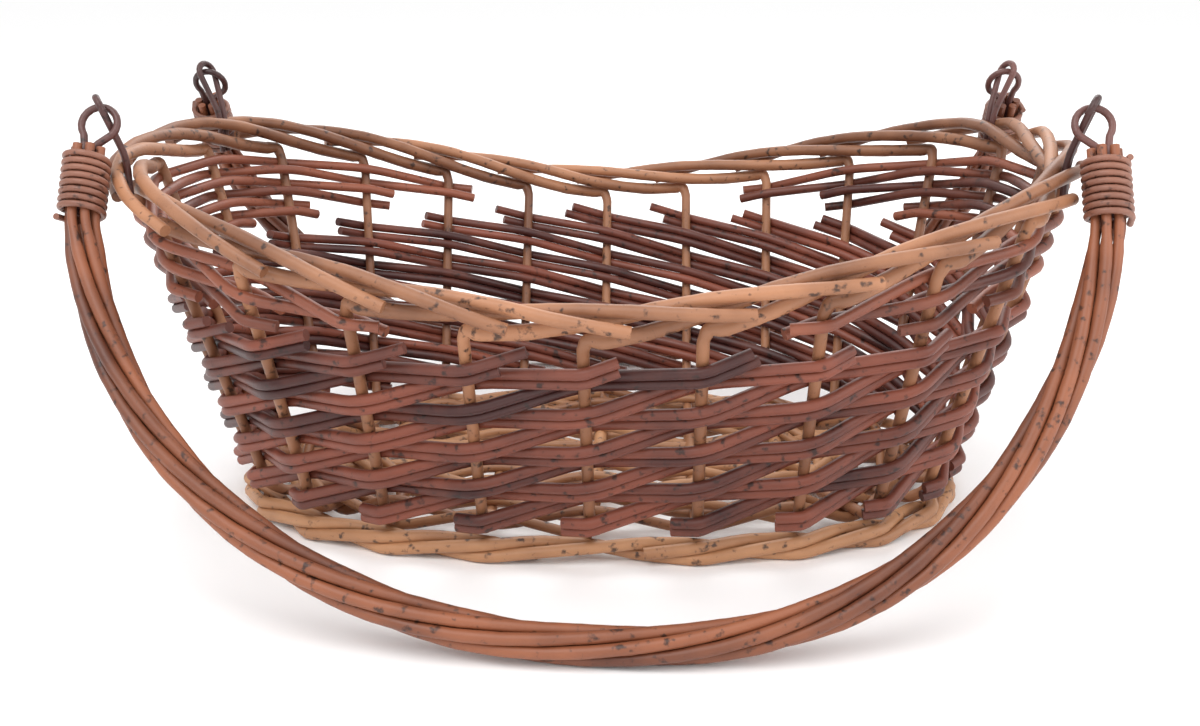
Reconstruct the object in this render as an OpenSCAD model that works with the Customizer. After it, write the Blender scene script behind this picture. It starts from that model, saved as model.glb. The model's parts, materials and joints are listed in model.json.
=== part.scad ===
// Oval willow basket with a saddle rim and two swinging bail handles.
// Every rod is a separate solid: stakes that end in the border, paired weavers that climb
// to the right, a wale at the foot, packing at the high ends, and handles twisted from rods.
// The origin is on the ground under the middle, +X along the length, -Y to the front.

/* [Basket] */
// Length of the rim, between the stakes at its two ends
rim_length = 464; // [400:2:560]
// Width of the rim, between the stakes at the middle of its sides
rim_width = 330; // [280:2:400]
// Length of the base, between the stakes at its two ends
base_length = 370; // [320:2:450]
// Width of the base, between the stakes at the middle of its sides
base_width = 212; // [180:2:260]
// Height of the border's centre at the middle of each side
side_height = 136; // [112:1:168]
// Height of the border's centre at each end
end_height = 183; // [170:1:222]
// How square the oval's corners are, where 2 is an ellipse
corner_power = 2.5; // [2.2:0.1:2.8]
// How much closer the stakes stand at the middle of the sides
side_crowding = 0.08; // [0:0.01:0.15]
// How far the stakes spread sideways at the base, where 1 is the least
base_spread = 1.38; // [1:0.02:1.5]

/* [Rods] */
// Diameter of a stake in the wall
stake_d = 5.6; // [4.6:0.1:6.8]
// Diameter of a paired side weaver
weaver_d = 5.4; // [4.4:0.1:6]
// Diameter of the packing rods under the border at the high ends
packing_d = 5.4; // [4.4:0.1:6]
// Diameter of the wale's rods at the foot of the wall
wale_d = 6.2; // [5:0.1:7.4]
// Clearance between rods that cross
rod_gap = 0.25; // [0.2:0.05:0.5]
// Height of the first course of weavers above the ground
first_course = 25.5; // [24:0.5:32]

/* [Border] */
// Distance of the border's rods from its centre line
border_ring = 6.9; // [6.6:0.1:8.6]
// Diameter of a border rod where it leaves its stake
border_d = 6.6; // [5.8:0.1:7]
// Diameter of a border rod at its tip
border_tip_d = 5; // [4:0.1:5.6]
// How many stakes a border rod passes before it ends
border_run = 3.4; // [3:0.1:3.6]
// How far a border rod rolls round the border, in degrees
border_roll = 280; // [250:5:290]

/* [Base] */
// Diameter of the short sticks across the base
cross_stick_d = 7.2; // [6.4:0.2:9]
// Diameter of the long sticks that pierce them
long_stick_d = 4.8; // [4:0.2:5.4]
// Distance between the long sticks
long_stick_step = 15; // [14:0.5:18]
// Diameter of the rods woven round the base sticks
base_weaver_d = 5.2; // [4.4:0.2:5.8]
// Length of each stake that is pushed into the base
stake_insert = 40; // [34:1:46]

/* [Handles] */
// Distance from the hinge to the middle of the grip
handle_drop = 240.5; // [222:0.5:290]
// How square the handle's bow is, where 2 is an ellipse
handle_power = 2.2; // [2:0.05:2.6]
// How far the grip leans sideways
grip_shift = 14; // [-20:1:20]
// Diameter of one of the six rods twisted round the handle's core
strand_d = 5.4; // [4.4:0.1:6.2]
// Diameter of those rods where the wrap squeezes them
strand_end_d = 4.2; // [3.8:0.1:5]
// Turns that the rods make round the core, from one end of a handle to the other
handle_turns = 2; // [1:0.25:3]
// Diameter of the rod wound round each end of a handle
wrap_d = 3; // [2.4:0.1:3.4]
// Turns of that rod
wrap_turns = 8; // [6:1:10]

/* [Eyes] */
// Diameter of the rods that are bent into eyes
eye_d = 3.4; // [2.8:0.1:4]
// Radius of the handle eye's loop, to the rod's centre
handle_loop = 8.4; // [7.2:0.1:9.4]
// Radius of the rim eye's loop, to the rod's centre
rim_loop = 5.6; // [5:0.1:7]
// Height of a rim eye from the border's top to its crown
rim_eye_rise = 30; // [27:0.5:40]
// How far a rim eye leans outwards, in degrees
rim_eye_lean = 20; // [20:1:30]
// How far inwards a handle eye's loop sits from the middle of its bundle
loop_offset = 4; // [1:0.1:5]
// Where the eyes stand, counted in stakes from the middle of the side
eye_station = 4.7; // [4.6:0.05:4.8]

/* [Hidden] */
stake_count = 24;
pair_count = stake_count / 2;
sides = 5;
loop_sides = 6;
smooth = 32;

function two_digits(k) = k < 10 ? str("0", k) : str(k);

STAKE_NODES = [for (k = [1:pair_count]) str("stake_pair_", two_digits(k))];
WEAVER_NODES = [for (k = [1:stake_count]) str("side_weaver_pair_", two_digits(k))];
SINGLE_NODES = [
    "base_cross_sticks",
    "base_long_sticks",
    "base_inner_weave",
    "base_outer_weave",
    "bottom_wale",
    "left_end_packing",
    "right_end_packing",
    "rim_eyes",
    "front_handle_core",
    "front_handle_strands",
    "front_handle_wraps",
    "front_handle_eyes",
    "rear_handle_core",
    "rear_handle_strands",
    "rear_handle_wraps",
    "rear_handle_eyes"
];

// Vectors
function unit(v) = v / norm(v);
function square_to(v, along) = unit(v - (v * along) * along);
function mix(a, b, share) = a + (b - a) * share;
function signed_power(v, power) = sign(v) * pow(abs(v), power);
function smooth_step(v) = let (c = max(0, min(1, v))) c * c * (3 - 2 * c);
function bell(v) = exp(-v * v);

// A tube along a path: its rings, then its faces
function path_direction(path, k) =
    let (last = len(path) - 1)
    k == 0 ? unit(path[1] - path[0])
    : k == last ? unit(path[last] - path[last - 1])
    : unit(unit(path[k + 1] - path[k]) + unit(path[k] - path[k - 1]));
function ring_starts(path, first_side) = [
    for (
        k = 0, side = square_to(first_side, path_direction(path, 0));
        k < len(path);
        k = k + 1,
        side = k < len(path) ? square_to(side, path_direction(path, k)) : side
    ) side
];
function tube_points(path, radii, first_side, count) =
    let (starts = ring_starts(path, first_side))
    [
        for (k = [0:len(path) - 1])
        let (across = cross(path_direction(path, k), starts[k]))
        for (j = [0:count - 1])
        let (a = 360 * j / count)
        path[k] + radii[k] * (cos(a) * starts[k] + sin(a) * across)
    ];
function tube_faces(rings, count, first) = concat(
    [[for (j = [0:count - 1]) first + j]],
    [[for (j = [count - 1:-1:0]) first + (rings - 1) * count + j]],
    [
        for (k = [0:rings - 2])
        for (j = [0:count - 1])
        let (a = first + k * count + j, b = first + k * count + (j + 1) % count)
        for (face = [[a, a + count, b + count], [a, b + count, b]])
        face
    ]
);

// Separate rods as one surface each. A rod is [path, radii, first side].
module rods(list, count = sides) {
    firsts = [
        for (k = 0, first = 0; k < len(list); first = first + len(list[k][0]) * count, k = k + 1) first
    ];
    polyhedron(
        points = [for (rod = list) each tube_points(rod[0], rod[1], rod[2], count)],
        faces = [for (k = [0:len(list) - 1]) each tube_faces(len(list[k][0]), count, firsts[k])]
    );
}

function even_rod(path, d, first_side) = [path, [for (p = path) d / 2], first_side];

// The oval, and the stakes' places round it. Station 0 is the middle of the front,
// and stations count to the right as seen from outside.
function oval(length, width, a) = [
    length / 2 * signed_power(cos(a), 2 / corner_power),
    width / 2 * signed_power(sin(a), 2 / corner_power)
];
oval_steps = 144;
function oval_step_angle(k) = 360 * k / oval_steps - 90;
rim_steps = [for (k = [0:oval_steps]) oval(rim_length, rim_width, oval_step_angle(k))];
rim_table = [
    for (
        k = 0, run = 0;
        k <= oval_steps;
        run = run + (k < oval_steps ? norm(rim_steps[k + 1] - rim_steps[k]) : 0),
        k = k + 1
    ) [run, oval_step_angle(k)]
];
rim_around = rim_table[oval_steps][0];
function station_share(s) =
    s / stake_count - side_crowding * sin(720 * s / stake_count) / (4 * PI);
function rim_angle(s) =
    let (inside = s - stake_count * floor(s / stake_count))
    lookup(station_share(inside) * rim_around, rim_table);
function rim_plan(s) = oval(rim_length, rim_width, rim_angle(s));
function base_plan(s) =
    let (a = rim_angle(s))
    oval(base_length, base_width, atan2(sin(a), base_spread * cos(a)));

saddle_bend = 3;
function saddle(x) =
    (sqrt(1 + pow(saddle_bend * x, 2)) - 1) / (sqrt(1 + pow(saddle_bend, 2)) - 1);
function rim_height(s) =
    mix(side_height, end_height, saddle(2 * rim_plan(s)[0] / rim_length));
function rim_point(s) = [rim_plan(s)[0], rim_plan(s)[1], rim_height(s)];

// The stakes' straight lines up the wall
base_level = wale_d * 1.5 + stake_d / 2 + rod_gap;
function foot_point(s) = [base_plan(s)[0], base_plan(s)[1], base_level];
feet = [for (s = [0:stake_count - 1]) foot_point(s)];
tops = [for (s = [0:stake_count - 1]) rim_point(s)];
function round_station(s) = (s % stake_count + stake_count) % stake_count;
function stake_point(s, z) =
    let (foot = feet[round_station(s)], top = tops[round_station(s)])
    mix(foot, top, (z - base_level) / (top[2] - base_level));
function stake_up(s) = unit(tops[round_station(s)] - feet[round_station(s)]);
function wall_along(s) =
    let (run = stake_point(s + 1, side_height / 2) - stake_point(s - 1, side_height / 2))
    unit([run[0], run[1], 0]);
function wall_out(s) = unit(cross(wall_along(s), stake_up(s)));

// How far a rod's centre passes from a stake's, on the outside (side 1) or inside (-1).
// A rod that runs from one side of a stake to the other side of the next needs more.
function pass_reach(s, z, side, clear) =
    let (
        before = stake_point(s, z) - stake_point(s - 1, z),
        after = stake_point(s + 1, z) - stake_point(s, z),
        turn = acos(min(1, unit(before) * unit(after))) / 2,
        slope = atan(2 * clear / min(norm(before), norm(after)))
    )
    clear / cos(max(0, slope + side * turn));
function wall_pass(s, z, side, clear, lift) =
    stake_point(s, z) + side * pass_reach(s, z, side, clear) * wall_out(s) + lift * stake_up(s);

// Paired weavers
weaver_clear = (stake_d + weaver_d) / 2 + rod_gap;
pair_lift = (weaver_d + rod_gap / 2) / 2;
half_course = 2 * weaver_d + rod_gap;
border_out = border_ring + border_d / 2;
last_pass = floor((side_height - border_out - weaver_d - first_course) / half_course);
butt_share = 0.25;
tip_share = 0.42;
function weaver_side(m) = m % 2 == 0 ? 1 : -1;
function weaver_point(first, m, lift) =
    wall_pass(first + m, first_course + m * half_course, weaver_side(m), weaver_clear, lift);
function weaver_path(first, lift) = concat(
    [mix(weaver_point(first, 0, lift), weaver_point(first, -1, lift), butt_share)],
    [for (m = [0:last_pass]) weaver_point(first, m, lift)],
    [mix(weaver_point(first, last_pass, lift), weaver_point(first, last_pass + 1, lift), tip_share)]
);
module weaver_pair(first) {
    color("#7a3526")
        rods([for (lift = [-pair_lift, pair_lift]) even_rod(weaver_path(first, lift), weaver_d, [0, 0, 1])]);
}

// The border: each rod rolls round the border's centre line, inwards, over and down outside
roll_per_stake = border_roll / border_run;
border_steps = [0.16, 0.5, 0.85, 1.2, 1.6, 2, 2.4, 2.8, 3.1, border_run];
knee = 6;
eye_stations = [eye_station, pair_count - eye_station, pair_count + eye_station, stake_count - eye_station];
eye_room = 1.2;
eye_room_width = 0.8;
function eye_bell(s, k) =
    let (away = abs(s - eye_stations[k]), near = min(away, abs(away - stake_count)))
    bell(near / eye_room_width);
function eye_twist(k) =
    let (past = eye_stations[k] - floor(eye_stations[k]))
    roll_per_stake * (past + 1.5) - 180;
function border_radius(s) = border_ring + eye_room * max([for (k = [0:3]) eye_bell(s, k)]);
function border_twist(s) = [for (k = [0:3]) eye_twist(k) * eye_bell(s, k)] * [1, 1, 1, 1];
function border_along(s) = unit(rim_point(s + 0.05) - rim_point(s - 0.05));
function border_sideways(s) =
    let (along = border_along(s))
    unit([along[1], -along[0], 0]);
function border_point(first, u) =
    let (
        s = (first + u) % stake_count,
        out = border_sideways(s),
        up = cross(out, border_along(s)),
        a = -90 - roll_per_stake * u + border_twist(s)
    )
    rim_point(s) + border_radius(s) * (cos(a) * out + sin(a) * up);

// Stakes: pushed into the base, bent up, and bent over into the border
foot_bend = 7;
function stick_start(s) =
    let (k = round_station(s))
    abs(feet[k][0]) < slath_length / 2 - cross_stick_d
    ? [feet[k][0], sign(feet[k][1]) * slath_width / 2, base_level]
    : [
        sign(feet[k][0]) * (slath_length / 2 + cross_stick_d),
        long_stick_step * (k < pair_count ? k - pair_count / 2 : 3 * pair_count / 2 - k),
        base_level
    ];
function stick_in(s) = unit(stick_start(s) - feet[round_station(s)]);
function stake_path(s) =
    let (
        foot = feet[s],
        up = stake_up(s),
        top = tops[s] - border_ring * up,
        start = max(stake_insert, foot_bend + stake_d)
    )
    concat(
        [
            foot + start * stick_in(s),
            foot + foot_bend * stick_in(s),
            foot + foot_bend * up,
            top - knee * up,
            top + 0.3 * border_d * border_along(s)
        ],
        [for (u = border_steps) border_point(s, u)]
    );
stake_radii = concat(
    [for (k = [0:3]) stake_d / 2],
    [border_d / 2 - 0.2],
    [for (u = border_steps) mix(border_d, border_tip_d, u / border_run) / 2]
);
module stake_pair(first) {
    color("#9c6440")
        rods([for (s = [first, first + 1]) [stake_path(s), stake_radii, wall_out(s) + [0, 0, 0.5]]]);
}

// A wale of three rods. Each goes outside two stakes, rising, then behind the next one.
wale_reach = (stake_d + wale_d) / 2 + rod_gap;
wale_low = wale_d / 2;
wale_high = wale_low + wale_d + rod_gap;
wale_behind = (wale_low + wale_high) / 2;
function wale_turn(s, first) = ((s - first) % 3 + 3) % 3;
function wale_stop(s, first) =
    let (
        turn = wale_turn(s, first),
        k = round_station(s),
        foot = feet[k],
        out = [wall_out(k)[0], wall_out(k)[1], 0],
        side = turn == 2 ? -1 : 1,
        z = turn == 0 ? wale_low : turn == 1 ? wale_high : wale_behind
    )
    [foot[0], foot[1], 0] + side * pass_reach(k, base_level, side, wale_reach) * out + [0, 0, z];
function wale_between(s, first) =
    let (
        turn = wale_turn(s, first),
        middle = (wale_stop(s, first) + wale_stop(s + 1, first)) / 2,
        z = turn == 0 ? wale_behind : turn == 1 ? wale_high : wale_low
    )
    [middle[0], middle[1], z];
function wale_path(first) = [
    for (s = [first + 0.5:0.5:first + stake_count - 0.5])
    s == floor(s) ? wale_stop(s, first) : wale_between(floor(s), first)
];
module bottom_wale() {
    color("#a06a3e")
        rods([for (first = [0:2]) even_rod(wale_path(first * pair_count * 2 / 3), wale_d, [0, 0, -1])]);
}

// Packing: rods under the border that fill the high ends above the paired weavers
packing_clear = (stake_d + packing_d) / 2 + rod_gap;
packing_step = packing_d + 0.6;
weave_top = first_course + last_pass * half_course + pair_lift + weaver_d / 2;
function packing_height(s, row) =
    rim_height(s) - border_out - packing_d / 2 - 0.8 - row * packing_step;
packing_floor = weave_top + tip_share * half_course + packing_d / 2 + rod_gap;
function packing_span(row) =
    max([-1, for (k = [0:5]) if (packing_height(pair_count / 2 + k, row) > packing_floor) k]);
function packing_point(middle, k, row) =
    wall_pass(
        middle + k,
        packing_height(middle + k, row),
        (k + row + 40) % 2 == 0 ? 1 : -1,
        packing_clear,
        0
    );
packing_tail = 0.3;
function packing_path(middle, row) =
    let (span = packing_span(row))
    concat(
        [mix(packing_point(middle, -span, row), packing_point(middle, -span - 1, row), packing_tail)],
        [for (k = [-span:span]) packing_point(middle, k, row)],
        [mix(packing_point(middle, span, row), packing_point(middle, span + 1, row), packing_tail)]
    );
packing_rows = [for (row = [0:11]) if (packing_span(row) > 0) row];
module end_packing(middle) {
    color("#7e3c2a")
        rods([for (row = packing_rows) even_rod(packing_path(middle, row), packing_d, [0, 0, 1])]);
}

// Base: short sticks pierced by long ones, and rods woven over and under them
cross_stations = [-2, -1, 0, 1, 2];
end_stations = [5, 6, 7];
slath_length = 2 * feet[2][0] + cross_stick_d + 10;
slath_width = 2 * long_stick_step + long_stick_d + 6;
stick_stop = stake_insert + 0.3;
base_reach = (cross_stick_d + base_weaver_d) / 2 + rod_gap;
module base_cross_sticks() {
    color("#8a5a3a")
        for (s = cross_stations) {
            half = -feet[round_station(s)][1] - stick_stop;
            difference() {
                translate([feet[round_station(s)][0], 0, base_level])
                    rotate([90, 0, 0])
                        cylinder(h = 2 * half, d = cross_stick_d, center = true, $fn = smooth);
                for (row = [-1:1])
                    translate([feet[round_station(s)][0], row * long_stick_step, base_level])
                        rotate([0, 90, 0])
                            cylinder(
                                h = 2 * cross_stick_d,
                                d = long_stick_d + 2 * rod_gap,
                                center = true,
                                $fn = smooth
                            );
            }
        }
}
function long_stick_path(row) =
    let (
        right = stick_start(6 + row),
        foot = feet[6 + row],
        bend = [right[0] - cross_stick_d, right[1], base_level],
        tip = foot + stick_stop * unit(right - foot),
        left = [-1, 1, 1]
    )
    [
        [left[0] * tip[0], tip[1], tip[2]],
        [-bend[0], bend[1], bend[2]],
        bend,
        tip
    ];
module base_long_sticks() {
    color("#8a5a3a")
        rods([for (row = [-1:1]) even_rod(long_stick_path(row), long_stick_d, [0, 0, 1])], 8);
}
inner_stations = [0, 1, 2, 5, 6, 7, 10, 11, 12, 13, 14, 17, 18, 19, 22, 23];
outer_stations = [for (s = [0:stake_count - 1]) s];
base_edge = foot_bend + base_weaver_d;
function base_spot(s, share, over) =
    mix(stick_start(s), feet[s] + base_edge * stick_in(s), share) + [0, 0, over * base_reach];
function base_path(stations, first, turns, from_share, to_share) =
    let (count = len(stations), steps = turns * count)
    [
        for (k = [0:steps])
        let (place = (k + first) % count)
        base_spot(stations[place], mix(from_share, to_share, k / steps), (place + (first > 0 ? 1 : 0)) % 2 == 0 ? 1 : -1)
    ];
module base_weave(stations, turns, from_share, to_share) {
    color("#a4683c")
        rods([
            for (first = [0, len(stations) / 2])
            even_rod(base_path(stations, first, turns, from_share, to_share), base_weaver_d, [0, 0, 1])
        ]);
}

// Rim eyes and handle eyes: a rod bent into a loop, with its two legs together.
// An eye stands on the origin, with its legs side by side along Y, and leans towards +X.
eye_r = eye_d / 2;
leg_half = eye_r + 0.15;
link_gap = 1.3;
arc_steps = 8;
function eye_half(loop, rise, foot) =
    let (
        neck = rise - loop,
        reach = sqrt(leg_half * leg_half + neck * neck),
        spread = asin(loop / reach) - atan(leg_half / neck)
    )
    concat(
        [[leg_half, -foot], [leg_half, 0]],
        [
            for (k = [0:arc_steps / 2])
            let (a = -spread + (90 + spread) * k / (arc_steps / 2))
            [loop * cos(a), neck + loop * sin(a)]
        ]
    );
function eye_place(spot, side, lean, offset) = [
    max(0, spot[1]) * sin(lean),
    side * spot[0] + (spot[1] > 0 ? offset : 0),
    spot[1] > 0 ? spot[1] * cos(lean) : spot[1]
];
function eye_path(loop, rise, foot, lean, offset) =
    let (half = eye_half(loop, rise, foot), last = len(half) - 1)
    concat(
        [for (k = [0:last]) eye_place(half[k], -1, lean, offset)],
        [for (k = [last - 1:-1:0]) eye_place(half[k], 1, lean, offset)]
    );
module eye(loop, rise, foot, lean = 0, offset = 0) {
    rods([even_rod(eye_path(loop, rise, foot, lean, offset), eye_d, [1, 0, 0])], loop_sides);
}
function eye_seat(s) = rim_point(s) + [0, 0, border_out + eye_room];
function eye_facing(s) = atan2(border_sideways(s)[1], border_sideways(s)[0]);
module rim_eyes() {
    color("#5c3434")
        for (s = eye_stations)
            translate(eye_seat(s))
                rotate([0, 0, eye_facing(s)])
                    eye(rim_loop, rim_eye_rise, 2 * border_out + eye_room - 0.6, rim_eye_lean);
}

// The hinge axis runs along X through both handle eyes, just under the rim eyes' crowns.
// A handle eye sits a little inwards of the rim eye's crown, to clear its front leg.
hinge_rise = rim_eye_rise - eye_d - link_gap;
link_inwards = 0.3;
hinge = eye_seat(eye_station)
    + hinge_rise * (sin(rim_eye_lean) * border_sideways(eye_station) + cos(rim_eye_lean) * [0, 0, 1])
    - [link_inwards, 0, 0];
bundle_x = hinge[0] + loop_offset;
strand_ring = strand_d + 0.5;
bundle_r = strand_ring + strand_d / 2;
handle_tilt = acos((hinge[2] - bundle_r) / handle_drop);

// A handle hangs from the hinge axis in its own X-Z plane, and is tilted to the ground after
wrap_start = 25;
wrap_step = wrap_d + 0.47;
wrap_length = wrap_turns * wrap_step;
wrap_end = wrap_start + wrap_length;
stub = 5;
bow_share = pow(1 - pow(wrap_end / handle_drop, handle_power), 1 / handle_power);
handle_half = bundle_x / bow_share;
function handle_spot(a) =
    let (drop = handle_drop * signed_power(sin(a), 2 / handle_power))
    [
        handle_half * signed_power(cos(a), 2 / handle_power) + grip_shift * pow(drop / handle_drop, 4),
        0,
        -drop
    ];
bow_steps = 90;
bow_table = [
    for (
        k = 0, run = 0;
        k <= bow_steps;
        run = run + (k < bow_steps ? norm(handle_spot(180 * (k + 1) / bow_steps) - handle_spot(180 * k / bow_steps)) : 0),
        k = k + 1
    ) [run, 180 * k / bow_steps]
];
bow_run = bow_table[bow_steps][0];
// The bow's own curve, with straight ends that hang from the hinge inside the wraps
bow_from = lookup(asin(pow(wrap_end / handle_drop, handle_power / 2)), [for (row = bow_table) [row[1], row[0]]]);
bow_length = bow_run - 2 * bow_from + 2 * wrap_end;
function handle_centre(run) =
    run < wrap_end ? [bundle_x, 0, -run]
    : run > bow_length - wrap_end ? [-bundle_x, 0, run - bow_length]
    : handle_spot(lookup(run - wrap_end + bow_from, bow_table));
function handle_along(run) = unit(handle_centre(run + 0.5) - handle_centre(run - 0.5));
function round_handle(run, radius, a) =
    let (in_plane = cross(handle_along(run), [0, 1, 0]))
    handle_centre(run) + radius * (cos(a) * in_plane + sin(a) * [0, 1, 0]);
bundle_start = wrap_start - stub;
taper_length = 30;
function squeeze(run) =
    smooth_step((min(run, bow_length - run) - wrap_end) / taper_length);
squeezed_ring = strand_end_d / 2 + 2 * eye_r + 0.15 + 0.15;
strand_rings = 17;
function strand_run(k) =
    k == 0 ? bundle_start
    : k == strand_rings ? bow_length - bundle_start
    : mix(wrap_end, bow_length - wrap_end, (k - 1) / (strand_rings - 2));
function strand_twist(run) =
    360 * handle_turns * (max(0, min(1, (run - wrap_end) / (bow_length - 2 * wrap_end))) - 0.5);
function strand_path(which) = [
    for (k = [0:strand_rings])
    let (run = strand_run(k))
    round_handle(
        run,
        mix(squeezed_ring, strand_ring, squeeze(run)),
        60 * which + strand_twist(run)
    )
];
strand_radii = [for (k = [0:strand_rings]) mix(strand_end_d, strand_d, squeeze(strand_run(k))) / 2];
core_d = 2 * strand_ring * cos(180 * handle_turns / (strand_rings - 2)) - strand_d - 2 * rod_gap;
module handle_core() {
    color("#6a3a2a")
        rods([
            even_rod(
                concat(
                    [handle_centre(wrap_end + stub)],
                    [for (k = [2:strand_rings - 2]) handle_centre(strand_run(k))],
                    [handle_centre(bow_length - wrap_end - stub)]
                ),
                core_d,
                [0, 1, 0]
            )
        ]);
}
module handle_strands() {
    color("#96542f")
        rods([for (which = [0:5]) [strand_path(which), strand_radii, [0, 1, 0]]]);
}

// A wrap winds round the squeezed ends of the rods, with a straight tail at each end
wrap_rings = 10;
wrap_reach = (squeezed_ring + strand_end_d / 2 + wrap_d / 2 + 0.1) / cos(180 / wrap_rings);
function wrap_coil(from) = [
    for (k = [0:wrap_rings * wrap_turns])
    round_handle(
        from + wrap_step * k / wrap_rings,
        wrap_reach,
        360 * k / wrap_rings
    )
];
function with_tails(path) =
    let (last = len(path) - 1)
    concat(
        [path[0] + wrap_d * 1.2 * unit(path[0] - path[1])],
        path,
        [path[last] + wrap_d * 1.2 * unit(path[last] - path[last - 1])]
    );
module handle_wraps() {
    color("#8a4e34")
        rods(
            [
                for (from = [wrap_start, bow_length - wrap_end])
                even_rod(with_tails(wrap_coil(from)), wrap_d, [0, 1, 0])
            ],
            loop_sides
        );
}
wrap_check = wrap_coil(wrap_start);
wrap_clearance = min([
    for (k = [0:len(wrap_check) - 1 - wrap_rings])
    norm(wrap_check[k + wrap_rings] - wrap_check[k]) - wrap_d
]);
echo("least gap between the turns of a wrap", wrap_clearance);
echo("hinge", hinge);

module handle_eyes() {
    color("#5c3434")
        for (end = [-1, 1])
            translate([end * bundle_x, 0, -bundle_start])
                rotate([0, 0, -90 * end])
                    eye(handle_loop, bundle_start, stub + wrap_length, offset = -loop_offset);
}

module as_front_handle() {
    translate([0, hinge[1], hinge[2]])
        rotate([-handle_tilt, 0, 0])
            children();
}
module as_rear_handle() {
    rotate([0, 0, 180])
        as_front_handle()
            children();
}

base_cross_sticks();
base_long_sticks();
base_weave(inner_stations, 2, 0.04, 0.5);  // base_inner_weave
base_weave(outer_stations, 1.5, 0.64, 1);  // base_outer_weave
bottom_wale();
end_packing(18);  // left_end_packing
end_packing(6);  // right_end_packing
rim_eyes();
as_front_handle() handle_core();  // front_handle_core
as_front_handle() handle_strands();  // front_handle_strands
as_front_handle() handle_wraps();  // front_handle_wraps
as_front_handle() handle_eyes();  // front_handle_eyes
as_rear_handle() handle_core();  // rear_handle_core
as_rear_handle() handle_strands();  // rear_handle_strands
as_rear_handle() handle_wraps();  // rear_handle_wraps
as_rear_handle() handle_eyes();  // rear_handle_eyes
for (k = [0:pair_count - 1])
    stake_pair(2 * k);
for (k = [0:stake_count - 1])
    weaver_pair(k);
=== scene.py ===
# Oval woven basket with two swinging handles: every rod is a round, tapered, slightly uneven curve.
# The geometry repeats the CAD's formulas in millimetres, and rod() writes it out in metres.
import bpy
import json
import math
import random
from mathutils import Matrix, Vector


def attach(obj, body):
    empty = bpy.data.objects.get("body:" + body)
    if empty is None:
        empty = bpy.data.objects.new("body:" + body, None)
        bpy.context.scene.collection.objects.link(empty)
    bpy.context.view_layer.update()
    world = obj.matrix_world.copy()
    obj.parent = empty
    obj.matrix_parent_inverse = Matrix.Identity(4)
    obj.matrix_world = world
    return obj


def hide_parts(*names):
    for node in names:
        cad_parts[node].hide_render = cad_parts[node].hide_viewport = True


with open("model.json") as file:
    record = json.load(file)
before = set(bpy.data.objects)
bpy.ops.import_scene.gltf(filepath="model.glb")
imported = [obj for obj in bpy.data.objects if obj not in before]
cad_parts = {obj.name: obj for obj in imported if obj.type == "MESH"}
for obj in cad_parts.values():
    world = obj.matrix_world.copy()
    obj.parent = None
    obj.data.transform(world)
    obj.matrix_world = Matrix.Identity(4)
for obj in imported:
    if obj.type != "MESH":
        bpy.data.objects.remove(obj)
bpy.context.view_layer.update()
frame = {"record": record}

random.seed(11)
MM = 0.001

# Stations: the places of the stakes, counted to the right from the middle of the front
STAKES = 24
RIGHT_END = STAKES // 4
BACK = STAKES // 2
LEFT_END = 3 * STAKES // 4

# Basket, in millimetres
RIM = (464, 330)
BASE = (370, 212)
SIDE_HEIGHT, END_HEIGHT = 136, 183
POWER = 2.5
CROWDING = 0.08
SPREAD = 1.38
FLARE = 3
STAKE_D, WEAVER_D, PACKING_D, WALE_D = 5.6, 5.4, 5.4, 6.2
GAP = 0.25
FIRST_COURSE = 25.5
BORDER_RING, BORDER_D, BORDER_TIP_D = 6.9, 6.6, 5.0
BORDER_RUN, BORDER_ROLL = 3.4, 280
BORDER_OUT = BORDER_RING + BORDER_D / 2
STAKE_INSERT = 40
CROSS_D, LONG_D, LONG_STEP, BASE_WEAVER_D = 7.2, 4.8, 15, 5.2

# Handles, in millimetres
DROP, HANDLE_POWER, GRIP_SHIFT = 240.5, 2.2, 14
STRANDS, STRAND_D, STRAND_END_D, TURNS = 6, 5.4, 4.2, 2
CORE_D = 5
WRAP_D, WRAP_TURNS, WRAP_START, STUB = 3.0, 8, 25, 5
EYE_D, HANDLE_LOOP, RIM_LOOP = 3.4, 8.4, 5.6
RIM_EYE_RISE, RIM_EYE_LEAN, LINK_GAP, LINK_INWARDS = 30, 20, 1.3, 0.3
EYE_STATION, EYE_ROOM, EYE_ROOM_WIDTH = 4.7, 1.2, 0.8
LOOP_OFFSET = 4


def unit(v):
    return v / v.length


def mix(a, b, share):
    return a + (b - a) * share


def alternate(k):
    """The side that a rod passes on at its k-th stop: 1 is outside or over, -1 inside or under."""
    return 1 if k % 2 == 0 else -1


def signed_power(v, power):
    return math.copysign(abs(v) ** power, v)


def smooth_step(v):
    c = max(0.0, min(1.0, v))
    return c * c * (3 - 2 * c)


def turn(degrees):
    return math.radians(degrees)


def lookup(x, table):
    """The value at x in a rising table of (x, value) pairs."""
    if x <= table[0][0]:
        return table[0][1]
    for (x0, y0), (x1, y1) in zip(table, table[1:]):
        if x <= x1:
            return y0 + (y1 - y0) * (x - x0) / (x1 - x0)
    return table[-1][1]


# The oval and the stakes round it
def oval(size, degrees):
    a = turn(degrees)
    return Vector((
        size[0] / 2 * signed_power(math.cos(a), 2 / POWER),
        size[1] / 2 * signed_power(math.sin(a), 2 / POWER),
        0,
    ))


def length_table(curve, start, stop, steps):
    """Pairs of the length run so far along a curve and the angle reached there."""
    table, run, last = [], 0.0, None
    for k in range(steps + 1):
        a = start + (stop - start) * k / steps
        spot = curve(a)
        if last is not None:
            run += (spot - last).length
        table.append((run, a))
        last = spot
    return table


RIM_TABLE = length_table(lambda a: oval(RIM, a), -90, 270, 144)


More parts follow.
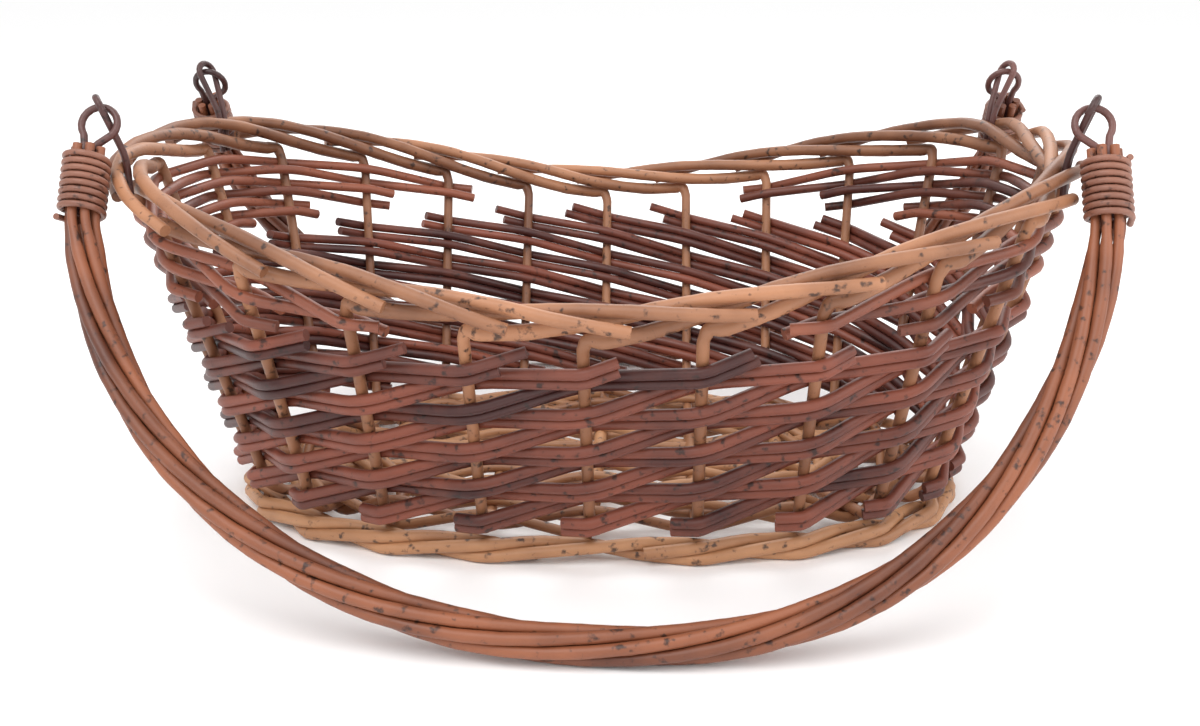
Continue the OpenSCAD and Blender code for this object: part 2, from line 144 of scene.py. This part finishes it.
def rim_angle(s):
    """Angle of station s. CROWDING brings the stakes closer at the front and the back."""
    s = s % STAKES
    share = s / STAKES - CROWDING * math.sin(turn(720 * s / STAKES)) / (4 * math.pi)
    return lookup(share * RIM_TABLE[-1][0], RIM_TABLE)


def saddle(x):
    """Share of the rise from the rim's low sides, at x = 0, to its high ends, at 1 and -1."""
    return (math.sqrt(1 + (FLARE * x) ** 2) - 1) / (math.sqrt(1 + FLARE ** 2) - 1)


def rim_point(s):
    p = oval(RIM, rim_angle(s))
    p.z = mix(SIDE_HEIGHT, END_HEIGHT, saddle(2 * p.x / RIM[0]))
    return p


BASE_LEVEL = WALE_D * 1.5 + STAKE_D / 2 + GAP


def foot_point(s):
    a = turn(rim_angle(s))
    p = oval(BASE, math.degrees(math.atan2(math.sin(a), SPREAD * math.cos(a))))
    p.z = BASE_LEVEL
    return p


FEET = [foot_point(s) for s in range(STAKES)]
TOPS = [rim_point(s) for s in range(STAKES)]


def stake_point(s, z):
    foot, top = FEET[s % STAKES], TOPS[s % STAKES]
    return mix(foot, top, (z - BASE_LEVEL) / (top.z - BASE_LEVEL))


def stake_up(s):
    return unit(TOPS[s % STAKES] - FEET[s % STAKES])


def wall_out(s):
    run = stake_point(s + 1, SIDE_HEIGHT / 2) - stake_point(s - 1, SIDE_HEIGHT / 2)
    run.z = 0
    return unit(unit(run).cross(stake_up(s)))


def pass_reach(s, z, side, clear):
    """How far from its stake a rod's corner lies, so that its straight sides keep clear of it."""
    before_it = stake_point(s, z) - stake_point(s - 1, z)
    after_it = stake_point(s + 1, z) - stake_point(s, z)
    bend = before_it.angle(after_it) / 2
    slope = math.atan(2 * clear / min(before_it.length, after_it.length))
    return clear / math.cos(max(0, slope + side * bend))


def wall_pass(s, z, side, clear, lift):
    """Where a rod passes stake s at height z, lifted along the stake."""
    reach = side * pass_reach(s, z, side, clear)
    return stake_point(s, z) + reach * wall_out(s) + lift * stake_up(s)


# Rods as curves
ROUNDNESS = 4
CORNER_STEPS = (0.0, 0.25, 0.5, 0.75, 1.0)
SLOW_WAVE, SLOW_STEP = 0.02, 0.9
FAST_WAVE, FAST_STEP = 0.015, 2.3


def soften(path, diameters, soft):
    """The path with each corner rounded over the share soft of its sides, and its diameters."""
    spots, sizes = [path[0]], [diameters[0]]
    for k in range(1, len(path) - 1):
        a, b, c = path[k - 1], path[k], path[k + 1]
        reach = min((b - a).length, (c - b).length) * soft
        first, last = b - unit(b - a) * reach, b + unit(c - b) * reach
        for t in CORNER_STEPS:
            spots.append(first * (1 - t) ** 2 + b * 2 * t * (1 - t) + last * t ** 2)
            sizes.append(diameters[k])
    return spots + [path[-1]], sizes + [diameters[-1]]


def uneven(phase, k):
    """A rod's natural change of thickness at its k-th point, as a factor."""
    slow = SLOW_WAVE * math.sin(phase + k * SLOW_STEP)
    return 1 + slow + FAST_WAVE * math.sin(phase * 3 + k * FAST_STEP)


def rod(name, path, diameters, body, material, nodes, soft=0.28):
    """A round rod along path, in millimetres, with one diameter or one for each point."""
    if not isinstance(diameters, (list, tuple)):
        diameters = [diameters] * len(path)
    spots, sizes = soften(path, diameters, soft)
    curve = bpy.data.curves.new(name, "CURVE")
    curve.dimensions = "3D"
    curve.bevel_depth = 1.0
    curve.bevel_resolution = ROUNDNESS
    curve.use_fill_caps = True
    line = curve.splines.new("POLY")
    line.points.add(len(spots) - 1)
    phase = random.uniform(0, 9)
    for k, (spot, size) in enumerate(zip(spots, sizes)):
        line.points[k].co = (*(spot * MM), 1)
        line.points[k].radius = size / 2 * MM * uneven(phase, k)
    line.use_smooth = True
    piece = bpy.data.objects.new(name, curve)
    bpy.context.scene.collection.objects.link(piece)
    curve.materials.append(material)
    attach(piece, body)
    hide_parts(*nodes)


# Skins. A noise's scale is in features per metre, and a higher one is finer.
NICK_COLOUR = (0.02, 0.008, 0.006)
NICK_STRENGTH = 0.85
ROD_TO_ROD, ROD_MEAN = 0.45, 0.22
GRAIN_DEPTH = 0.0004


def bark(name, low, high, rough=0.42):
    """Peeled, boiled willow: patchy colour, dark nicks, fine grain and a satin skin."""
    mat = bpy.data.materials.new(name)
    mat.use_nodes = True
    nodes, links = mat.node_tree.nodes, mat.node_tree.links
    shader = nodes["Principled BSDF"]
    place = nodes.new("ShaderNodeTexCoord")

    def noise(scale, detail):
        texture = nodes.new("ShaderNodeTexNoise")
        texture.inputs["Scale"].default_value = scale
        texture.inputs["Detail"].default_value = detail
        links.new(place.outputs["Object"], texture.inputs["Vector"])
        return texture.outputs["Fac"]

    def ramp(value, *stops):
        colours = nodes.new("ShaderNodeValToRGB")
        for element, (position, colour) in zip(colours.color_ramp.elements, stops):
            element.position = position
            element.color = (*colour, 1)
        links.new(value, colours.inputs["Fac"])
        return colours.outputs["Color"]

    # Colour: patches along each rod, and a shade of its own for each rod, less the shades' mean
    patches = noise(scale=26, detail=6)
    shift = nodes.new("ShaderNodeMath")
    shift.operation = "SUBTRACT"
    shift.inputs[1].default_value = ROD_MEAN
    links.new(patches, shift.inputs[0])
    each = nodes.new("ShaderNodeObjectInfo")
    mixed = nodes.new("ShaderNodeMath")
    mixed.operation = "MULTIPLY_ADD"
    mixed.inputs[1].default_value = ROD_TO_ROD
    links.new(each.outputs["Random"], mixed.inputs[0])
    links.new(shift.outputs[0], mixed.inputs[2])
    skin = ramp(mixed.outputs[0], (0.25, low), (0.78, high))

    # Small dark nicks over it
    nicks = ramp(noise(scale=210, detail=3), (0.30, (NICK_STRENGTH,) * 3), (0.40, (0, 0, 0)))
    blend = nodes.new("ShaderNodeMix")
    blend.data_type = "RGBA"
    links.new(nicks, blend.inputs["Factor"])
    links.new(skin, blend.inputs["A"])
    blend.inputs["B"].default_value = (*NICK_COLOUR, 1)
    links.new(blend.outputs["Result"], shader.inputs["Base Color"])

    # Fine grain, and a shine that changes with the patches
    bump = nodes.new("ShaderNodeBump")
    bump.inputs["Strength"].default_value = 0.28
    bump.inputs["Distance"].default_value = GRAIN_DEPTH
    links.new(noise(scale=900, detail=4), bump.inputs["Height"])
    links.new(bump.outputs["Normal"], shader.inputs["Normal"])
    worn = nodes.new("ShaderNodeMapRange")
    worn.inputs["To Min"].default_value = rough - 0.1
    worn.inputs["To Max"].default_value = rough + 0.2
    links.new(patches, worn.inputs["Value"])
    links.new(worn.outputs["Result"], shader.inputs["Roughness"])
    return mat


weaver_skin = bark("weaver_skin", (0.05, 0.011, 0.009), (0.235, 0.062, 0.034))
stake_skin = bark("stake_skin", (0.17, 0.065, 0.03), (0.44, 0.20, 0.10))
base_skin = bark("base_skin", (0.22, 0.085, 0.035), (0.50, 0.25, 0.12))
packing_skin = bark("packing_skin", (0.07, 0.015, 0.01), (0.28, 0.085, 0.045))
handle_skin = bark("handle_skin", (0.10, 0.028, 0.013), (0.29, 0.095, 0.042))
wrap_skin = bark("wrap_skin", (0.10, 0.035, 0.022), (0.33, 0.14, 0.09), rough=0.35)
eye_skin = bark("eye_skin", (0.035, 0.012, 0.012), (0.16, 0.065, 0.055), rough=0.35)

# Paired weavers
WEAVER_CLEAR = (STAKE_D + WEAVER_D) / 2 + GAP
PAIR_LIFT = (WEAVER_D + GAP / 2) / 2
HALF_COURSE = 2 * WEAVER_D + GAP
LAST_PASS = math.floor((SIDE_HEIGHT - BORDER_OUT - WEAVER_D - FIRST_COURSE) / HALF_COURSE)
WEAVER_BUTT, WEAVER_TIP = 0.25, 0.42
TIP_CHANGE = (-0.15, 0.12)
WEAVER_TAPER = (1.06, 0.97)


def weaver_point(first, m, lift):
    height = FIRST_COURSE + m * HALF_COURSE
    return wall_pass(first + m, height, alternate(m), WEAVER_CLEAR, lift)


for first in range(STAKES):
    node = "side_weaver_pair_%02d" % (first + 1)
    for which, lift in (("lower", -PAIR_LIFT), ("upper", PAIR_LIFT)):
        tip = WEAVER_TIP + random.uniform(*TIP_CHANGE)
        path = [mix(weaver_point(first, 0, lift), weaver_point(first, -1, lift), WEAVER_BUTT)]
        path += [weaver_point(first, m, lift) for m in range(LAST_PASS + 1)]
        path.append(mix(path[-1], weaver_point(first, LAST_PASS + 1, lift), tip))
        sizes = [WEAVER_D * mix(*WEAVER_TAPER, k / (len(path) - 1)) for k in range(len(path))]
        rod(
            "%s_%s" % (node, which), path, sizes, "basket", weaver_skin, [node],
            soft=0.2,
        )

# Stakes and the border that they are bent over into
ROLL = BORDER_ROLL / BORDER_RUN
BORDER_STEPS = [0.16, 0.5, 0.85, 1.2, 1.6, 2, 2.4, 2.8, 3.1, BORDER_RUN]
BORDER_SWELL = 0.7
STATION_NUDGE = 0.05
EYE_STATIONS = [EYE_STATION, BACK - EYE_STATION, BACK + EYE_STATION, STAKES - EYE_STATION]


def eye_bell(s, at):
    """1 at the eye that stands at station at, falling to 0 away from it."""
    away = abs(s - at)
    away = min(away, abs(away - STAKES))
    return math.exp(-((away / EYE_ROOM_WIDTH) ** 2))


def border_radius(s):
    return BORDER_RING + EYE_ROOM * max(eye_bell(s, at) for at in EYE_STATIONS)


def border_twist(s):
    """The extra roll near each eye, so that its legs go down between two rods."""
    return sum((ROLL * (at % 1 + 1.5) - 180) * eye_bell(s, at) for at in EYE_STATIONS)


def border_along(s):
    return unit(rim_point(s + STATION_NUDGE) - rim_point(s - STATION_NUDGE))


def border_sideways(s):
    along = border_along(s)
    return unit(Vector((along.y, -along.x, 0)))


def border_point(first, u):
    """The border rod of stake first, u stations further on."""
    s = (first + u) % STAKES
    out = border_sideways(s)
    up = out.cross(border_along(s))
    a = turn(-90 - ROLL * u + border_twist(s))
    return rim_point(s) + border_radius(s) * (math.cos(a) * out + math.sin(a) * up)


# The slath is the cross of short and long sticks in the middle of the base
SLATH_ROOM = (10, 6)
SLATH_LENGTH = 2 * FEET[2].x + CROSS_D + SLATH_ROOM[0]
SLATH_WIDTH = 2 * LONG_STEP + LONG_D + SLATH_ROOM[1]
FOOT_BEND, KNEE, KNEE_LEAN, KNEE_THINNER = 7, 6, 0.3, 0.4


def stick_start(s):
    """The point of the slath that stake s runs in towards."""
    k = s % STAKES
    foot = FEET[k]
    if abs(foot.x) < SLATH_LENGTH / 2 - CROSS_D:
        return Vector((foot.x, math.copysign(SLATH_WIDTH / 2, foot.y), BASE_LEVEL))
    row = k - RIGHT_END if k < BACK else LEFT_END - k
    return Vector((math.copysign(SLATH_LENGTH / 2 + CROSS_D, foot.x), LONG_STEP * row, BASE_LEVEL))


def stick_in(s):
    return unit(stick_start(s) - FEET[s % STAKES])


for s in range(STAKES):
    up, foot = stake_up(s), FEET[s]
    top = TOPS[s] - BORDER_RING * up
    path = [
        foot + STAKE_INSERT * stick_in(s),
        foot + FOOT_BEND * stick_in(s),
        foot + FOOT_BEND * up,
        top - KNEE * up,
        top + KNEE_LEAN * BORDER_D * border_along(s),
    ]
    path += [border_point(s, u) for u in BORDER_STEPS]
    sizes = [STAKE_D] * 4 + [BORDER_D - KNEE_THINNER]
    sizes += [
        mix(BORDER_D + BORDER_SWELL, BORDER_TIP_D + BORDER_SWELL, u / BORDER_RUN)
        for u in BORDER_STEPS
    ]
    node = "stake_pair_%02d" % (s // 2 + 1)
    rod(
        "stake_%02d" % (s + 1), path, sizes, "basket", stake_skin, [node],
        soft=0.3,
    )

# Wale at the foot: each rod goes outside two stakes, rising, then behind the next one
WALE_RODS = 3
WALE_REACH = (STAKE_D + WALE_D) / 2 + GAP
WALE_LOW = WALE_D / 2
WALE_HIGH = WALE_LOW + WALE_D + GAP
WALE_BEHIND = (WALE_LOW + WALE_HIGH) / 2


def wale_stop(s, first):
    phase, k = (s - first) % WALE_RODS, s % STAKES
    out = wall_out(k)
    side = -1 if phase == WALE_RODS - 1 else 1
    reach = side * pass_reach(k, BASE_LEVEL, side, WALE_REACH)
    z = (WALE_LOW, WALE_HIGH, WALE_BEHIND)[phase]
    return Vector((FEET[k].x + reach * out.x, FEET[k].y + reach * out.y, z))


for which in range(WALE_RODS):
    first = which * STAKES // WALE_RODS
    path = []
    for k in range(1, 2 * STAKES):
        s = first + k // 2
        spot = wale_stop(s, first)
        if k % 2:
            spot = (spot + wale_stop(s + 1, first)) / 2
            spot.z = (WALE_BEHIND, WALE_HIGH, WALE_LOW)[(s - first) % WALE_RODS]
        path.append(spot)
    rod("wale_rod_%d" % (which + 1), path, WALE_D, "basket", base_skin, ["bottom_wale"])

# Packing: rods under the border that fill the high ends above the paired weavers
PACKING_CLEAR = (STAKE_D + PACKING_D) / 2 + GAP
PACKING_GAP, UNDER_BORDER = 0.6, 0.8
PACKING_STEP = PACKING_D + PACKING_GAP
PACKING_TAIL, PACKING_ROWS = 0.3, 12
WEAVE_TOP = FIRST_COURSE + LAST_PASS * HALF_COURSE + PAIR_LIFT + WEAVER_D / 2
PACKING_FLOOR = WEAVE_TOP + WEAVER_TIP * HALF_COURSE + PACKING_D / 2 + GAP


def packing_height(s, row):
    return rim_point(s).z - BORDER_OUT - PACKING_D / 2 - UNDER_BORDER - row * PACKING_STEP


def packing_point(middle, k, row):
    height = packing_height(middle + k, row)
    return wall_pass(middle + k, height, alternate(k + row), PACKING_CLEAR, 0)


def packing_tip(middle, row, k, beyond):
    """The end of a packing rod, a little past its last stake k towards the next one."""
    last, further = packing_point(middle, k, row), packing_point(middle, beyond, row)
    return mix(last, further, PACKING_TAIL)


def packing_span(row):
    """How many stakes a row reaches on each side of the end's middle before it meets the weave."""
    fits = [k for k in range(RIGHT_END) if packing_height(RIGHT_END + k, row) > PACKING_FLOOR]
    return max(fits, default=-1)


for middle, node in ((RIGHT_END, "right_end_packing"), (LEFT_END, "left_end_packing")):
    for row in range(PACKING_ROWS):
        span = packing_span(row)
        if span > 0:
            path = [packing_tip(middle, row, -span, -span - 1)]
            path += [packing_point(middle, k, row) for k in range(-span, span + 1)]
            path.append(packing_tip(middle, row, span, span + 1))
            rod(
                "%s_%d" % (node, row + 1), path, PACKING_D, "basket", packing_skin,
                [node], soft=0.25,
            )

# Base: sticks and the rods woven over and under them
BASE_REACH = (CROSS_D + BASE_WEAVER_D) / 2 + GAP
BASE_EDGE = FOOT_BEND + BASE_WEAVER_D
STICK_GAP = 0.3
STICK_STOP = STAKE_INSERT + STICK_GAP
BASE_RODS = 2
CROSS_STATIONS = (-2, -1, 0, 1, 2)
ROWS = (-1, 0, 1)
INNER = [0, 1, 2, 5, 6, 7, 10, 11, 12, 13, 14, 17, 18, 19, 22, 23]
OUTER = list(range(STAKES))


def base_path(stations, which, turns, start, stop):
    """A rod that winds outwards. The second one starts half way round, on the other side."""
    count = len(stations)
    first = which * count // BASE_RODS
    steps = int(turns * count)
    path = []
    for k in range(steps + 1):
        place = (k + first) % count
        s = stations[place]
        share = mix(start, stop, k / steps)
        edge = FEET[s] + BASE_EDGE * stick_in(s)
        over = Vector((0, 0, alternate(place + which) * BASE_REACH))
        path.append(mix(stick_start(s), edge, share) + over)
    return path


for node, stations, turns, start, stop in (
    ("base_inner_weave", INNER, 2, 0.04, 0.5),
    ("base_outer_weave", OUTER, 1.5, 0.64, 1),
):
    for which in range(BASE_RODS):
        path = base_path(stations, which, turns, start, stop)
        name = "%s_%d" % (node, which + 1)
        rod(name, path, BASE_WEAVER_D, "basket", base_skin, [node])
for which, s in enumerate(CROSS_STATIONS):
    foot = FEET[s % STAKES]
    half = -foot.y - STICK_STOP
    path = [Vector((foot.x, y, BASE_LEVEL)) for y in (-half, -half / 3, half / 3, half)]
    name = "cross_stick_%d" % (which + 1)
    rod(name, path, CROSS_D, "basket", base_skin, ["base_cross_sticks"])
for which, row in enumerate(ROWS):
    right, foot = stick_start(RIGHT_END + row), FEET[RIGHT_END + row]
    tip = foot + STICK_STOP * unit(right - foot)
    bend = Vector((right.x - CROSS_D, right.y, BASE_LEVEL))
    path = [Vector((-tip.x, tip.y, tip.z)), Vector((-bend.x, bend.y, bend.z)), bend, tip]
    name = "long_stick_%d" % (which + 1)
    rod(name, path, LONG_D, "basket", base_skin, ["base_long_sticks"], soft=0.1)

# Eyes: bent loops on two legs
EYE_R = EYE_D / 2
LEG_GAP = 0.3
LEG_HALF = EYE_R + LEG_GAP / 2
LEG_STOP = 0.6
LOOP_STEPS = 8


def eye_path(loop, rise, foot, lean=0.0, offset=0.0):
    """An eye that stands on the origin, with its legs side by side along Y, and leans to +X."""
    neck = rise - loop
    reach = math.hypot(LEG_HALF, neck)
    spread = math.degrees(math.asin(loop / reach) - math.atan(LEG_HALF / neck))
    half = [(LEG_HALF, -foot), (LEG_HALF, 0)]
    for k in range(LOOP_STEPS + 1):
        a = turn(-spread + (90 + spread) * k / LOOP_STEPS)
        half.append((loop * math.cos(a), neck + loop * math.sin(a)))
    path = []
    for side, spots in ((-1, half), (1, half[-2::-1])):
        for across, up in spots:
            above = max(0, up)
            path.append(Vector((
                above * math.sin(turn(lean)),
                side * across + (offset if up > 0 else 0),
                up if up < 0 else up * math.cos(turn(lean)),
            )))
    return path


def eye_seat(s):
    return rim_point(s) + Vector((0, 0, BORDER_OUT + EYE_ROOM))


RIM_EYE_LEGS = 2 * BORDER_OUT + EYE_ROOM - LEG_STOP
for which, s in enumerate(EYE_STATIONS):
    out = border_sideways(s)
    place = Matrix.Translation(eye_seat(s)) @ Matrix.Rotation(math.atan2(out.y, out.x), 4, "Z")
    eye = eye_path(RIM_LOOP, RIM_EYE_RISE, RIM_EYE_LEGS, lean=RIM_EYE_LEAN)
    rod(
        "rim_eye_%d" % (which + 1), [place @ p for p in eye], EYE_D, "basket", eye_skin,
        ["rim_eyes"], soft=0.3,
    )

# Handles: each hangs from its hinge in its own X-Z plane, and is tilted to the ground after
joint = {j["name"]: j for j in frame["record"]["behaviour"]["joints"]}["front_handle_swing"]
HINGE = Vector((0, joint["pos_m"][1], joint["pos_m"][2])) / MM
side_out = border_sideways(EYE_STATION)
HINGE_RISE = RIM_EYE_RISE - EYE_D - LINK_GAP
HINGE_X = (
    eye_seat(EYE_STATION).x + HINGE_RISE * math.sin(turn(RIM_EYE_LEAN)) * side_out.x - LINK_INWARDS
)
BUNDLE_X = HINGE_X + LOOP_OFFSET
STRAND_GAP, WRAP_GAP = 0.5, 0.47
STRAND_RING = STRAND_D + STRAND_GAP
TILT = math.degrees(math.acos((HINGE.z - STRAND_RING - STRAND_D / 2) / DROP))
WRAP_STEP = WRAP_D + WRAP_GAP
WRAP_LENGTH = WRAP_TURNS * WRAP_STEP
WRAP_END = WRAP_START + WRAP_LENGTH
SHARE = (1 - (WRAP_END / DROP) ** HANDLE_POWER) ** (1 / HANDLE_POWER)
HALF = BUNDLE_X / SHARE


def handle_spot(degrees):
    """A point of the bow, whose grip leans sideways by GRIP_SHIFT."""
    a = turn(degrees)
    drop = DROP * signed_power(max(0.0, math.sin(a)), 2 / HANDLE_POWER)
    x = HALF * signed_power(math.cos(a), 2 / HANDLE_POWER) + GRIP_SHIFT * (drop / DROP) ** 4
    return Vector((x, 0, -drop))


BOW_TABLE = length_table(handle_spot, 0, 180, 180)
BOW_START = math.degrees(math.asin((WRAP_END / DROP) ** (HANDLE_POWER / 2)))
BOW_FROM = lookup(BOW_START, [(a, run) for run, a in BOW_TABLE])
LENGTH = BOW_TABLE[-1][0] - 2 * BOW_FROM + 2 * WRAP_END


def handle_centre(run):
    """The middle of the bundle, run millimetres along it: straight in the wraps, then the bow."""
    if run < WRAP_END:
        return Vector((BUNDLE_X, 0, -run))
    if run > LENGTH - WRAP_END:
        return Vector((-BUNDLE_X, 0, run - LENGTH))
    return handle_spot(lookup(run - WRAP_END + BOW_FROM, BOW_TABLE))


RUN_NUDGE = 0.5
FRONT_BACK = Vector((0, 1, 0))


def round_handle(run, radius, degrees):
    """A point at radius from the bundle's middle, degrees round it."""
    along = unit(handle_centre(run + RUN_NUDGE) - handle_centre(run - RUN_NUDGE))
    across = along.cross(FRONT_BACK)
    a = turn(degrees)
    return handle_centre(run) + radius * (math.cos(a) * across + math.sin(a) * FRONT_BACK)


RING_GAP, COIL_GAP = 0.3, 0.1
RING_END = STRAND_END_D / 2 + 2 * EYE_R + RING_GAP
COIL_REACH = RING_END + STRAND_END_D / 2 + WRAP_D / 2 + COIL_GAP
BUNDLE_START = WRAP_START - STUB
TAPER_LENGTH = 30
TAIL = 1.2 * WRAP_D
STRAND_SWELL = 0.3
STRAND_STEPS, CORE_STEPS, COIL_STEPS = 40, 30, 20


def squeeze(run):
    """0 in the wraps, where the rods are thin, and 1 along the bow."""
    return smooth_step((min(run, LENGTH - run) - WRAP_END) / TAPER_LENGTH)


def strand(which):
    path, sizes = [], []
    for k in range(STRAND_STEPS + 1):
        run = mix(BUNDLE_START, LENGTH - BUNDLE_START, k / STRAND_STEPS)
        inside = max(0, min(1, (run - WRAP_END) / (LENGTH - 2 * WRAP_END)))
        s = squeeze(run)
        twist = 360 / STRANDS * which + 360 * TURNS * (inside - 0.5)
        path.append(round_handle(run, mix(RING_END, STRAND_RING, s), twist))
        sizes.append(mix(STRAND_END_D, STRAND_D + STRAND_SWELL, s))
    return path, sizes


def core():
    start, stop = WRAP_END + STUB, LENGTH - WRAP_END - STUB
    return [handle_centre(mix(start, stop, k / CORE_STEPS)) for k in range(CORE_STEPS + 1)]


def coil(start):
    """A wrap: turns round the bundle, with a straight tail at each end."""
    path = [
        round_handle(start + WRAP_STEP * k / COIL_STEPS, COIL_REACH, 360 * k / COIL_STEPS)
        for k in range(COIL_STEPS * WRAP_TURNS + 1)
    ]
    first_tail = path[0] + TAIL * unit(path[0] - path[1])
    last_tail = path[-1] + TAIL * unit(path[-1] - path[-2])
    return [first_tail] + path + [last_tail]


def build_handle(side, place):
    def build(name, path, sizes, skin, node):
        rod(
            "%s_%s" % (side, name), [place @ p for p in path], sizes, side + "_handle", skin,
            [side + "_handle_" + node], soft=0.3,
        )

    for which in range(STRANDS):
        path, sizes = strand(which)
        build("handle_rod_%d" % (which + 1), path, sizes, handle_skin, "strands")
    build("handle_middle_rod", core(), CORE_D, handle_skin, "core")
    for which, start in enumerate((WRAP_START, LENGTH - WRAP_END)):
        build("wrap_%d" % (which + 1), coil(start), WRAP_D, wrap_skin, "wraps")
    for which, end in enumerate((-1, 1)):
        seat = Matrix.Translation((end * BUNDLE_X, 0, -BUNDLE_START))
        seat = seat @ Matrix.Rotation(turn(-90 * end), 4, "Z")
        eye = eye_path(HANDLE_LOOP, BUNDLE_START, STUB + WRAP_LENGTH, offset=-LOOP_OFFSET)
        path = [seat @ p for p in eye]
        build("eye_%d" % (which + 1), path, EYE_D, eye_skin, "eyes")


hang = Matrix.Translation(HINGE) @ Matrix.Rotation(turn(-TILT), 4, "X")
build_handle("front", hang)
build_handle("rear", Matrix.Rotation(math.pi, 4, "Z") @ hang)

# Floor
FLOOR = 60
floor_mesh = bpy.data.meshes.new("floor")
floor_mesh.from_pydata(
    [(-FLOOR, -FLOOR, 0), (FLOOR, -FLOOR, 0), (FLOOR, FLOOR, 0), (-FLOOR, FLOOR, 0)],
    [],
    [(0, 1, 2, 3)],
)
floor = bpy.data.objects.new("floor", floor_mesh)
bpy.context.scene.collection.objects.link(floor)
paper = bpy.data.materials.new("floor_paper")
paper.use_nodes = True
paper_shader = paper.node_tree.nodes["Principled BSDF"]
paper_shader.inputs["Base Color"].default_value = (0.98, 0.98, 0.98, 1)
paper_shader.inputs["Roughness"].default_value = 0.9
floor_mesh.materials.append(paper)


# Light, in metres and watts
def lamp(name, place, aim, size, power):
    light = bpy.data.lights.new(name, "AREA")
    light.size = size
    light.energy = power
    piece = bpy.data.objects.new(name, light)
    piece.location = place
    piece.rotation_euler = (Vector(aim) - Vector(place)).to_track_quat("-Z", "Y").to_euler()
    bpy.context.scene.collection.objects.link(piece)


lamp("key_light", place=(-0.5, -0.9, 1.6), aim=(0, 0, 0.08), size=1.3, power=17)
lamp("fill_light", place=(1.4, -0.8, 0.9), aim=(0, 0, 0.08), size=1.2, power=9)
lamp("back_light", place=(0.2, 1.4, 1.3), aim=(0, 0, 0.1), size=1.2, power=12)
world = bpy.data.worlds.new("studio")
world.use_nodes = True
world.node_tree.nodes["Background"].inputs["Color"].default_value = (1, 1, 1, 1)
world.node_tree.nodes["Background"].inputs["Strength"].default_value = 1.0
bpy.context.scene.world = world
bpy.context.scene.view_settings.view_transform = "Standard"

# Camera, as fitted to the photograph
FOCAL_PX, PHOTO_WIDTH = 1348.1, 1200
SENSOR_WIDTH = 36
CAMERA_PLACE = Vector((0.0282, -0.6984, 0.2952))
CAMERA_AIM = Vector((0.000986, 0, 0.066507))
CAMERA_ROLL = -0.255
lens = bpy.data.cameras.new("camera")
lens.sensor_width = SENSOR_WIDTH
lens.lens = SENSOR_WIDTH * FOCAL_PX / PHOTO_WIDTH
camera = bpy.data.objects.new("camera", lens)
bpy.context.scene.collection.objects.link(camera)
camera.location = CAMERA_PLACE
level = (CAMERA_AIM - CAMERA_PLACE).to_track_quat("-Z", "Y").to_matrix()
camera.rotation_euler = (level @ Matrix.Rotation(turn(CAMERA_ROLL), 3, "Z")).to_euler()
bpy.context.scene.camera = camera
